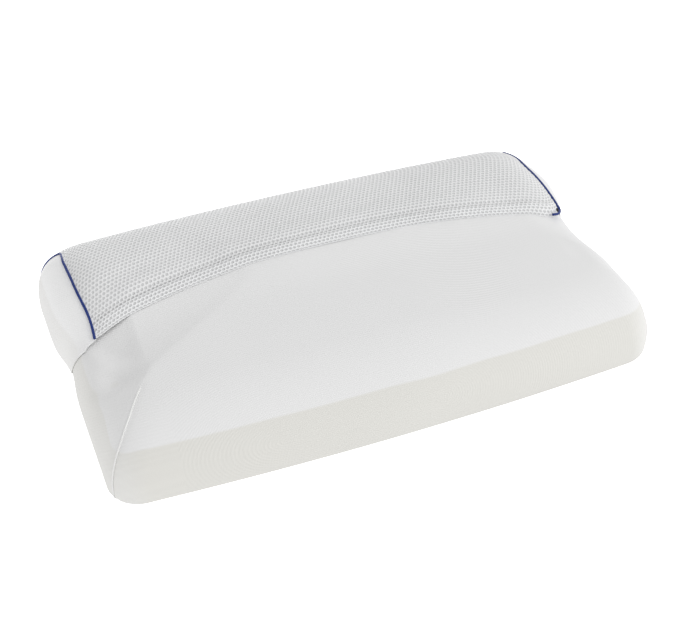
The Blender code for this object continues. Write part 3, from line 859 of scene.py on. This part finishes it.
def make_knit_ribs():
    """Fine ribs of a jersey that arch down at the pillow's ends, crossed by rows of loops; its Shade is
    painted shade that darkens the ribs' hollows.
    """
    tree, given, result = make_group(
        "Knit ribs",
        (("Rib pitch", "NodeSocketFloat", 0.0034), ("Loop pitch", "NodeSocketFloat", 0.0018),
         ("Stray", "NodeSocketFloat", 0.5)),
        (("Height", "NodeSocketFloat"), ("Shade", "NodeSocketFloat")))
    place = tree.nodes.new("ShaderNodeTexCoord").outputs["Object"]
    axes = add_node(tree, "ShaderNodeSeparateXYZ", in_0=place)
    wander = add_node(tree, "ShaderNodeTexNoise", in_Vector=place, in_Scale=18.0, in_Detail=2.0)
    down = math_node(tree, "ADD", axes.outputs["Y"], axes.outputs["Z"])
    stray = math_node(tree, "MULTIPLY", wander.outputs["Fac"], given.outputs["Stray"])
    past_right = math_node(tree, "SUBTRACT", axes.outputs["X"], RIB_ARCH_RIGHT_X)
    right = math_node(tree, "MAXIMUM", past_right, 0.0)
    left = add_node(
        tree, "ShaderNodeMapRange", in_0=axes.outputs["X"], in_1=RIB_ARCH_LEFT_X, in_2=RIB_ARCH_LEFT_END_X,
        in_3=0.0, in_4=RIB_ARCH_LEFT_SHARE * (RIB_ARCH_LEFT_X - RIB_ARCH_LEFT_END_X))
    aside = math_node(tree, "ADD", right, left.outputs[0])
    ahead = math_node(tree, "SUBTRACT", down, RIB_ARCH_MIDDLE)
    squares = math_node(tree, "MULTIPLY_ADD", aside, aside, math_node(tree, "MULTIPLY", ahead, ahead))
    reach = math_node(tree, "SQRT", squares)
    even_turns = math_node(tree, "DIVIDE", reach, given.outputs["Rib pitch"])
    rib_turns = math_node(tree, "ADD", even_turns, stray)
    ribs = math_node(tree, "SINE", math_node(tree, "MULTIPLY", rib_turns, 2.0 * math.pi))
    loop_turns = math_node(tree, "DIVIDE", axes.outputs["X"], given.outputs["Loop pitch"])
    loops = math_node(tree, "SINE", math_node(tree, "MULTIPLY", loop_turns, 2.0 * math.pi))
    height = math_node(tree, "MULTIPLY_ADD", loops, LOOP_SHARE, ribs)
    tree.links.new(height, result.inputs["Height"])
    # Painted shade: the colour darkens where the ribs are low
    shade = add_node(
        tree, "ShaderNodeMapRange", in_0=ribs, in_1=-1.0, in_2=1.0, in_3=RIB_HOLLOW_PAINTED_SHADE, in_4=1.0)
    tree.links.new(shade.outputs[0], result.inputs["Shade"])
    return tree


def make_yarn_grain():
    """Small unevenness of spun yarn, as a height and as a shade near 1."""
    tree, given, result = make_group(
        "Yarn grain",
        (("Grain size", "NodeSocketFloat", 0.0012), ("Shade depth", "NodeSocketFloat", 0.05)),
        (("Height", "NodeSocketFloat"), ("Shade", "NodeSocketFloat")))
    place = tree.nodes.new("ShaderNodeTexCoord").outputs["Object"]
    scale = math_node(tree, "DIVIDE", 1.0, given.outputs["Grain size"])
    fine = add_node(tree, "ShaderNodeTexNoise", in_Vector=place, in_Scale=scale, in_Detail=3.0)
    broad = add_node(tree, "ShaderNodeTexNoise", in_Vector=place, in_Scale=9.0, in_Detail=2.0)
    tree.links.new(fine.outputs["Fac"], result.inputs["Height"])
    both = math_node(tree, "ADD", fine.outputs["Fac"], broad.outputs["Fac"])
    away = math_node(tree, "SUBTRACT", both, 1.0)
    shade = math_node(tree, "MULTIPLY_ADD", away, given.outputs["Shade depth"], 1.0)
    tree.links.new(shade, result.inputs["Shade"])
    return tree


def make_foam_showing():
    """Colour of sheer cloth over the two foam layers, which part at one height."""
    tree, given, result = make_group(
        "Foam showing through",
        (("Upper colour", "NodeSocketColor", (0.8, 0.8, 0.8, 1.0)),
         ("Lower colour", "NodeSocketColor", (0.8, 0.8, 0.7, 1.0)),
         ("Parting height", "NodeSocketFloat", FOAM_PARTING_HEIGHT),
         ("Softness", "NodeSocketFloat", 0.0012)),
        (("Colour", "NodeSocketColor"),))
    place = tree.nodes.new("ShaderNodeTexCoord").outputs["Object"]
    axes = add_node(tree, "ShaderNodeSeparateXYZ", in_0=place)
    left_fall = add_node(
        tree, "ShaderNodeMapRange", interpolation_type="SMOOTHSTEP", in_0=axes.outputs["X"],
        in_1=-PALING_END_X, in_2=-PALING_START_X, in_3=PARTING_LEFT_FALL, in_4=0.0)
    height = math_node(tree, "ADD", axes.outputs["Z"], left_fall.outputs[0])
    wander = add_node(tree, "ShaderNodeTexNoise", in_Vector=place, in_Scale=14.0, in_Detail=1.0)
    stray = math_node(
        tree, "MULTIPLY_ADD", wander.outputs["Fac"], PARTING_WANDER, -0.5 * PARTING_WANDER)
    wandering = math_node(tree, "ADD", height, stray)
    above = math_node(tree, "SUBTRACT", wandering, given.outputs["Parting height"])
    softness = given.outputs["Softness"]
    share = add_node(
        tree, "ShaderNodeMapRange", interpolation_type="SMOOTHSTEP",
        in_0=above, in_1=math_node(tree, "MULTIPLY", softness, -1.0), in_2=softness)
    endward = add_node(
        tree, "ShaderNodeMapRange", interpolation_type="SMOOTHSTEP",
        in_0=math_node(tree, "ABSOLUTE", axes.outputs["X"]), in_1=PALING_START_X, in_2=PALING_END_X,
        in_3=0.0, in_4=END_PALING)
    paler = add_node(tree, "ShaderNodeMix", data_type="RGBA", in_0=endward.outputs[0])
    tree.links.new(given.outputs["Lower colour"], paler.inputs[6])
    tree.links.new(given.outputs["Upper colour"], paler.inputs[7])
    mix = add_node(tree, "ShaderNodeMix", data_type="RGBA", in_0=share.outputs[0])
    tree.links.new(paler.outputs[2], mix.inputs[6])
    tree.links.new(given.outputs["Upper colour"], mix.inputs[7])
    tree.links.new(mix.outputs[2], result.inputs["Colour"])
    return tree


def cloth_material(name, colour, roughness, groups, lower=None, rib_depth=0.0, grain_depth=0.0001,
                   grain_size=0.0012, shade_depth=0.05, sheen=0.0, softness=0.0012):
    """Knit or woven cloth: its colour, with painted shade in the ribs' hollows and random tone from the
    grain, and a bump from both.
    """
    material = bpy.data.materials.new(name)
    material.use_nodes = True
    tree = material.node_tree
    shader = tree.nodes["Principled BSDF"]
    shader.inputs["Roughness"].default_value = roughness
    shader.inputs["Sheen Weight"].default_value = sheen
    shader.inputs["Specular IOR Level"].default_value = 0.25
    shader.inputs["Base Color"].default_value = (*colour, 1.0)
    grain = add_node(tree, "ShaderNodeGroup", node_tree=groups["grain"])
    grain.inputs["Grain size"].default_value = grain_size
    grain.inputs["Shade depth"].default_value = shade_depth
    shade = grain.outputs["Shade"]
    bump = add_node(tree, "ShaderNodeBump", in_Height=grain.outputs["Height"], in_Distance=grain_depth)
    if rib_depth:
        ribs = add_node(tree, "ShaderNodeGroup", node_tree=groups["ribs"])
        # The ribs' painted shade darkens the colour in their hollows
        shade = math_node(tree, "MULTIPLY", shade, ribs.outputs["Shade"])
        bump = add_node(
            tree, "ShaderNodeBump", in_Height=ribs.outputs["Height"], in_Distance=rib_depth,
            in_Normal=bump.outputs["Normal"])
    tree.links.new(bump.outputs["Normal"], shader.inputs["Normal"])
    mix = add_node(tree, "ShaderNodeMix", data_type="RGBA", blend_type="MULTIPLY", in_0=1.0)
    mix.inputs[6].default_value = (*colour, 1.0)
    if lower:
        showing = add_node(tree, "ShaderNodeGroup", node_tree=groups["foam"])
        showing.inputs["Upper colour"].default_value = (*colour, 1.0)
        showing.inputs["Lower colour"].default_value = (*lower, 1.0)
        showing.inputs["Softness"].default_value = softness
        tree.links.new(showing.outputs["Colour"], mix.inputs[6])
    tree.links.new(shade, mix.inputs[7])
    tree.links.new(mix.outputs[2], shader.inputs["Base Color"])
    return material


def make_materials():
    groups = {"ribs": make_knit_ribs(), "grain": make_yarn_grain(), "foam": make_foam_showing()}
    return {
        "jersey": cloth_material(
            "White jersey", WHITE_KNIT, 0.85, groups, lower=CREAM_KNIT, rib_depth=0.00007,
            grain_depth=0.00004, shade_depth=0.03, sheen=0.1),
        "panel": cloth_material(
            "White panel knit", PANEL_WHITE, 0.85, groups, lower=PANEL_CREAM, rib_depth=0.00008,
            shade_depth=0.03, sheen=0.1, softness=0.004),
        "mesh": cloth_material(
            "White spacer mesh", MESH_WHITE, 0.70, groups, grain_depth=0.0002, grain_size=0.0009,
            shade_depth=0.10, sheen=0.15),
        "hem": cloth_material(
            "White doubled mesh", HEM_WHITE, 0.70, groups, grain_depth=0.0002, grain_size=0.0009,
            shade_depth=0.10, sheen=0.15),
        # The wells' floors: grey backing, darkened as painted shade of the holes' depth
        "well": cloth_material(
            "Grey backing with painted shade in the holes", WELL_GREY_WITH_PAINTED_SHADE, 0.90, groups, grain_size=0.0006, shade_depth=0.20),
        "piping": cloth_material(
            "Blue piping", PIPING_BLUE, 0.55, groups, grain_depth=0.0002, grain_size=0.0008,
            shade_depth=0.35, sheen=0.1),
        "thread": cloth_material(
            "White thread", THREAD_WHITE, 0.70, groups, grain_size=0.0005, shade_depth=0.1),
    }


def make_core(materials):
    """Foam block in its undercover."""
    places, quads = cube_lattice(CORE_CELLS)
    points = form_points(*places.T)
    points = points + point_normals(points, quads) * core_relief(points)[:, None]
    piece = add_piece("jersey_core", points, quads, [materials["jersey"]])
    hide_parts("jersey_casing", "foam_upper_layer", "foam_lower_layer")


def make_mesh_panel(materials):
    """Open mesh of the outer cover with its hem; returns its laid cloth for the piping."""
    cloth = LaidCloth(*lay_mesh_panel(cover_tree()))
    points, faces, face_materials = mesh_lattice(cloth)
    cloths = [materials["mesh"], materials["well"], materials["hem"]]
    piece = add_piece("mesh_panel", points, faces, cloths, face_materials)
    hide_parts("cover_mesh_panel")
    return cloth


def add_panel(name, points, quads, materials):
    """Plain knit panel of the outer cover, a cloth with its own thickness."""
    piece = add_piece(name, points.reshape(-1, 3), quads, [materials["panel"]])
    solidify = piece.modifiers.new("Cloth thickness", "SOLIDIFY")
    solidify.thickness = PLAIN_THICKNESS
    solidify.offset = -1.0
    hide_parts("cover_" + name)


def make_end_panel(side, materials):
    """Plain knit end of the outer cover, from its front edge round to the piping."""
    rows, columns = END_PANEL_GRID
    wide_share = np.linspace(0.0, 1.0, columns)
    down_share = np.linspace(0.0, 1.0, rows)
    edge = end_edge_places(side, down_share)
    wide = edge[:, None] + (1.0 - edge[:, None]) * wide_share[None]
    top = seam_high(wide, side)
    points = cover_form(side, wide, top + (-1.0 - top) * down_share[:, None])
    normals = grid_normals(points) * -side
    behind = points[..., 1] - points[:, :1, 1]
    snug = ease(behind / PANEL_SNUG_RUN)
    outward = TOUCHING_GAP + (cover_clearance(points) - TOUCHING_GAP) * snug + PLAIN_THICKNESS
    if side > 0.0:
        outward = outward + right_panel_swell(wide_share, down_share)
    points = points + normals * outward[..., None]
    points[..., 2] = np.maximum(points[..., 2], 0.0)
    quads = grid_quads(rows, columns)
    if side > 0.0:
        quads = quads[:, ::-1]
    name = "end_panel_left" if side < 0.0 else "end_panel_right"
    add_panel(name, points, quads, materials)


def right_panel_swell(wide_share, down_share):
    """Bulge of the slack right end panel, just under its seam."""
    front = ease(RIGHT_PANEL_SWELL_AT_EDGE + wide_share / RIGHT_PANEL_SWELL_FRONT)
    rear = ease((1.0 - wide_share) / RIGHT_PANEL_SWELL_REAR)
    under_seam = bell(down_share - RIGHT_PANEL_SWELL_DOWN, RIGHT_PANEL_SWELL_HALF)
    under_seam = under_seam * ease(down_share / RIGHT_PANEL_SWELL_TOP)
    return RIGHT_PANEL_SWELL * under_seam[:, None] * (front * rear)[None]


def make_base_panel(materials):
    """Underside of the outer cover, flat on the surface."""
    rows, columns = BASE_PANEL_GRID
    long = np.linspace(-1.0, 1.0, columns)
    edge = END_EDGE_FLOOR_Y / (REAR_HALF_WIDTH - UNDER_ROUNDING)
    wide = np.linspace(edge, 1.0, rows)[:, None]
    points = cover_form(long[None], wide, -1.0)
    points[..., 2] = 0.0
    quads = grid_quads(rows, columns)[:, ::-1]
    add_panel("base_panel", points, quads, materials)


def tube(points, radii, sides):
    """Points and faces of a closed tube along a line, with its own radius at each point and side."""
    points = np.asarray(points)
    way = np.gradient(points, axis=0)
    way = way / np.linalg.norm(way, axis=1, keepdims=True)
    normal = np.cross(way[0], (0.0, 0.0, 1.0))
    frames = []
    for step in way:
        normal = normal - step * (normal @ step)
        normal = normal / np.linalg.norm(normal)
        frames.append((normal, np.cross(step, normal)))
    turns = np.linspace(0.0, 2.0 * math.pi, sides, endpoint=False)
    rings = []
    for point, (first, second), radius in zip(points, frames, radii):
        around = np.outer(np.cos(turns), first) + np.outer(np.sin(turns), second)
        rings.append(point + around * radius[:, None])
    vertices = np.concatenate(rings)
    count = len(points)
    faces = []
    for ring in range(count - 1):
        for side in range(sides):
            following = (side + 1) % sides
            faces.append((ring * sides + side, ring * sides + following,
                          (ring + 1) * sides + following, (ring + 1) * sides + side))
    faces.append(tuple(range(sides))[::-1])
    faces.append(tuple(range((count - 1) * sides, count * sides)))
    return vertices, faces


def make_corner_seam(side, materials):
    """Raised overlocked seam of the undercover on a front corner."""
    line = corner_seam_line(side)
    run = run_along(line)
    steps = np.arange(0.0, run[-1], SEAM_STEP)
    points = points_at(steps, run, line)
    turns = np.linspace(0.0, 2.0 * math.pi, SEAM_SIDES, endpoint=False)
    beads = np.cos(turns[None] - 2.0 * math.pi * steps[:, None] / SEAM_STITCH_PITCH)
    taper = ease(steps / SEAM_TAPER_TOP + SEAM_TAPER_LEAST)
    taper = taper * ease((run[-1] - steps) / SEAM_TAPER_END + SEAM_TAPER_LEAST)
    radii = SEAM_RADIUS * (1.0 + SEAM_BEAD * beads) * taper[:, None]
    vertices, faces = tube(points, radii, SEAM_SIDES)
    name = "jersey_seam_left" if side < 0.0 else "jersey_seam_right"
    piece = add_piece(name, vertices, faces, [materials["thread"]])


def make_piping(side, cloth, materials):
    """Corded piping in the seam between the mesh panel and an end panel, with the wrap's fine ribs."""
    route, turn_index = seam_route(side, LATTICE_PIPING_END)
    turn_point = route[turn_index]
    if side > 0.0:
        across = 1.0 - np.linspace(HEM_CORNER_PIPED, 0.0, HEM_CORNER_POINTS) / cloth.width
        corner = cloth.read(cloth.grid, across, np.zeros(HEM_CORNER_POINTS))
        past_corner = route[:, 1] > corner[-1, 1] + HEM_CORNER_GAP
        route = np.concatenate([corner, route[past_corner]])
    turn_index = int(np.argmin(((route - turn_point) ** 2).sum(1)))
    out = route - np.array((0.0, AXIS_Y, AXIS_Z))
    out[:, 0] = side * 0.5 * np.linalg.norm(out[:, 1:], axis=1)
    way = np.gradient(route, axis=0)
    out = out - way * ((out * way).sum(1) / (way ** 2).sum(1))[:, None]
    out = out / np.linalg.norm(out, axis=1, keepdims=True)
    run = run_along(route)
    down = ease((run - run[turn_index]) / PIPING_SINK_RUN + PIPING_SINK_EARLY)
    stand_off = cover_clearance(route) + 0.5 * MESH_THICKNESS
    stand_off = stand_off + PIPING_RADIUS * (PIPING_PROUD - PIPING_CORNER_SINK * down)
    route = route + out * stand_off[:, None]
    run = run_along(route)
    steps = np.arange(0.0, run[-1], PIPING_STEP)
    points = smooth_rows(points_at(steps, run, route), PIPING_SMOOTHING)
    steps = steps[:, None]
    turns = np.linspace(0.0, 2.0 * math.pi, PIPING_SIDES, endpoint=False)[None]
    ribs = 1.0 + PIPING_RIB_DEPTH * np.cos(2.0 * turns - 2.0 * math.pi * steps / PIPING_RIB_PITCH)
    waves = np.sin(steps * PIPING_SWELL_RATES[0]) * np.sin(steps * PIPING_SWELL_RATES[1])
    slim = 1.0 - PIPING_REAR_SLIM * ease((steps - run[turn_index]) / PIPING_SLIM_RUN + 1.0)
    radii = PIPING_RADIUS * ribs * (1.0 + PIPING_SWELL * waves) * slim
    vertices, faces = tube(points, radii, PIPING_SIDES)
    end_name = "left" if side < 0.0 else "right"
    piece = add_piece("piping_cord_" + end_name, vertices, faces, [materials["piping"]])
    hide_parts("piping_" + end_name)


def make_stage():
    """White floor that the camera sees evenly lit, under soft light all round."""
    floor_material = bpy.data.materials.new("White floor")
    floor_material.use_nodes = True
    shader = floor_material.node_tree.nodes["Principled BSDF"]
    shader.inputs["Base Color"].default_value = FLOOR_WHITE
    shader.inputs["Roughness"].default_value = 0.9
    shader.inputs["Emission Color"].default_value = (1.0, 1.0, 1.0, 1.0)
    shader.inputs["Emission Strength"].default_value = 1.0
    bpy.ops.mesh.primitive_plane_add(size=FLOOR_SIZE, location=(0.0, 0.0, -FLOOR_DROP))
    floor = bpy.context.object
    floor.name = "floor"
    floor.visible_diffuse = False
    floor.visible_glossy = False
    floor.visible_shadow = False
    floor.data.materials.append(floor_material)
    bpy.context.scene.world = make_surround()
    for lamp in LAMPS:
        add_lamp(lamp)
    bpy.context.scene.view_settings.view_transform = "Standard"


def make_surround():
    """White light from all round, graded from left to right."""
    world = bpy.data.worlds.new("Soft surround")
    world.use_nodes = True
    tree = world.node_tree
    directions = tree.nodes.new("ShaderNodeTexCoord").outputs["Generated"]
    way = add_node(tree, "ShaderNodeSeparateXYZ", in_0=directions)
    level = math_node(tree, "MULTIPLY_ADD", way.outputs["X"], SURROUND_RIGHTWARD, SURROUND_LEVEL)
    tree.links.new(level, tree.nodes["Background"].inputs["Strength"])
    tree.nodes["Background"].inputs["Color"].default_value = (1.0, 1.0, 1.0, 1.0)
    return world


def add_lamp(lamp):
    """Soft square lamp that looks at the pillow."""
    data = bpy.data.lights.new(lamp.name, "AREA")
    data.size = lamp.size
    data.energy = lamp.power
    light = bpy.data.objects.new(lamp.name, data)
    level = math.cos(lamp.elevation)
    away = Vector((
        level * math.cos(lamp.azimuth), level * math.sin(lamp.azimuth), math.sin(lamp.elevation)))
    light.location = Vector((0.0, 0.0, LAMP_AIM_HEIGHT)) + away * lamp.distance
    light.rotation_euler = away.to_track_quat("Z", "Y").to_euler()
    bpy.context.scene.collection.objects.link(light)


def make_camera():
    """Camera at the photograph's angle."""
    data = bpy.data.cameras.new("Camera")
    data.lens = LENS
    data.sensor_width = SENSOR_WIDTH
    data.sensor_fit = "HORIZONTAL"
    camera = bpy.data.objects.new("Camera", data)
    back = Vector((
        math.sin(CAMERA_AZIMUTH) * math.cos(CAMERA_ELEVATION),
        -math.cos(CAMERA_AZIMUTH) * math.cos(CAMERA_ELEVATION),
        math.sin(CAMERA_ELEVATION)))
    camera.location = Vector(CAMERA_TARGET) + Vector(FORM_SHIFT) + back * CAMERA_DISTANCE
    camera.rotation_euler = (math.pi / 2.0 - CAMERA_ELEVATION, 0.0, CAMERA_AZIMUTH)
    bpy.context.scene.collection.objects.link(camera)
    bpy.context.scene.camera = camera


def main():
    make_camera()
    make_stage()
    materials = make_materials()
    make_core(materials)
    cloth = make_mesh_panel(materials)
    for side in (-1.0, 1.0):
        make_corner_seam(side, materials)
        make_end_panel(side, materials)
        make_piping(side, cloth, materials)
    make_base_panel(materials)


main()
